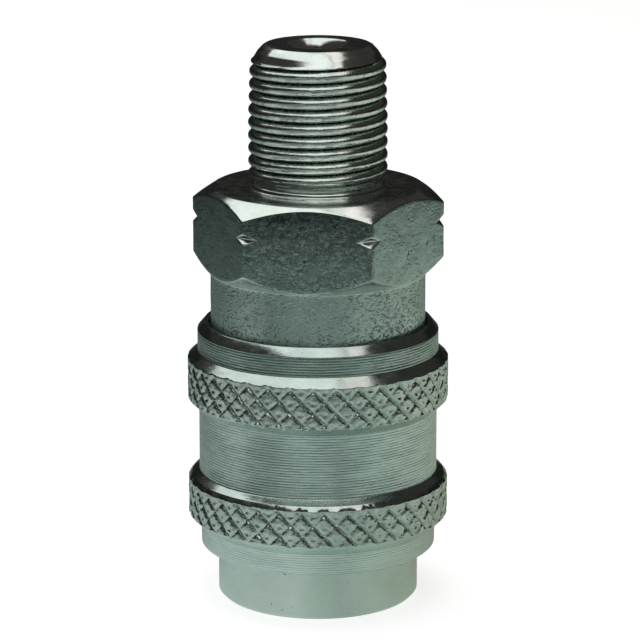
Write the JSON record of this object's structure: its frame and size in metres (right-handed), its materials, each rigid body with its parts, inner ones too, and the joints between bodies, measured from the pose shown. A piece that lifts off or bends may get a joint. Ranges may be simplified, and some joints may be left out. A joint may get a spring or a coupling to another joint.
{
  "type": "quick disconnect coupler",
  "caption": "Female quick disconnect coupler: spring-loaded knurled locking sleeve over a ball-lock socket with a poppet valve, wrench hexagon and male taper pipe thread.",
  "frame": {"origin": "centre of the nose's end face, on the coupler's axis; the coupler stands on this face", "axes": "+Z along the axis from the nose to the pipe thread, which is the way the sleeve is pulled to release; +X towards a corner of the hexagon; +Y towards a flat of the hexagon"},
  "size_m": [0.0192, 0.0192, 0.0413],
  "materials": {
    "forged_zinc_steel": "clear zinc plate over forged and turned steel, dented flats, bright chamfers",
    "turned_zinc_steel": "clear zinc plate over turned and knurled steel, fine feed marks",
    "nose_zinc_steel": "satin clear zinc plate",
    "ball_steel": "polished bearing steel",
    "spring_steel": "drawn spring wire and stamped washer",
    "valve_brass": "turned brass",
    "seal_rubber": "matt black moulded rubber",
    "backup_plastic": "off-white low-friction plastic"
  },
  "bodies": {
    "root": {"adapter_body": "forged_zinc_steel", "socket_body": "nose_zinc_steel", "retaining_ring": "spring_steel", "interface_seal": "seal_rubber", "interface_backup_ring": "backup_plastic", "body_seal": "seal_rubber", "body_backup_ring": "backup_plastic", "valve_guide": "valve_brass", "sleeve_spring": "spring_steel", "valve_spring": "spring_steel"},
    "spring_washer": {"sleeve_washer": "spring_steel"},
    "sleeve": {"locking_sleeve": "turned_zinc_steel"},
    "poppet": {"valve_poppet": "valve_brass", "valve_seal": "seal_rubber"},
    "ball_1": {"locking_ball_1": "ball_steel"},
    "ball_2": {"locking_ball_2": "ball_steel"},
    "ball_3": {"locking_ball_3": "ball_steel"},
    "ball_4": {"locking_ball_4": "ball_steel"},
    "ball_5": {"locking_ball_5": "ball_steel"},
    "ball_6": {"locking_ball_6": "ball_steel"}
  },
  "joints": [
    {"name": "sleeve_slide", "type": "slide", "parent": "root", "child": "spring_washer", "axis": [0, 0, 1], "range_m": [0, 0.0032], "stiffness_N_per_m": 2500, "springref_m": -0.004, "deforming": ["sleeve_spring"]},
    {"name": "sleeve_turn", "type": "hinge", "parent": "spring_washer", "child": "sleeve", "pos_m": [0, 0, 0.0125], "axis": [0, 0, 1], "continuous": true},
    {"name": "valve_slide", "type": "slide", "parent": "root", "child": "poppet", "axis": [0, 0, 1], "range_m": [0, 0.003], "stiffness_N_per_m": 1200, "springref_m": -0.003, "deforming": ["valve_spring"]},
    {"name": "ball_1_slide", "type": "slide", "parent": "root", "child": "ball_1", "axis": [1, 0, 0], "range_m": [0, 0.00045]},
    {"name": "ball_2_slide", "type": "slide", "parent": "root", "child": "ball_2", "axis": [0.5, 0.866, 0], "range_m": [0, 0.00045]},
    {"name": "ball_3_slide", "type": "slide", "parent": "root", "child": "ball_3", "axis": [-0.5, 0.866, 0], "range_m": [0, 0.00045]},
    {"name": "ball_4_slide", "type": "slide", "parent": "root", "child": "ball_4", "axis": [-1, 0, 0], "range_m": [0, 0.00045]},
    {"name": "ball_5_slide", "type": "slide", "parent": "root", "child": "ball_5", "axis": [-0.5, -0.866, 0], "range_m": [0, 0.00045]},
    {"name": "ball_6_slide", "type": "slide", "parent": "root", "child": "ball_6", "axis": [0.5, -0.866, 0], "range_m": [0, 0.00045]}
  ],
  "couplings": [
    {"joint": "ball_1_slide", "follows": "sleeve_slide", "ratio": 0.14},
    {"joint": "ball_2_slide", "follows": "sleeve_slide", "ratio": 0.14},
    {"joint": "ball_3_slide", "follows": "sleeve_slide", "ratio": 0.14},
    {"joint": "ball_4_slide", "follows": "sleeve_slide", "ratio": 0.14},
    {"joint": "ball_5_slide", "follows": "sleeve_slide", "ratio": 0.14},
    {"joint": "ball_6_slide", "follows": "sleeve_slide", "ratio": 0.14}
  ]
}
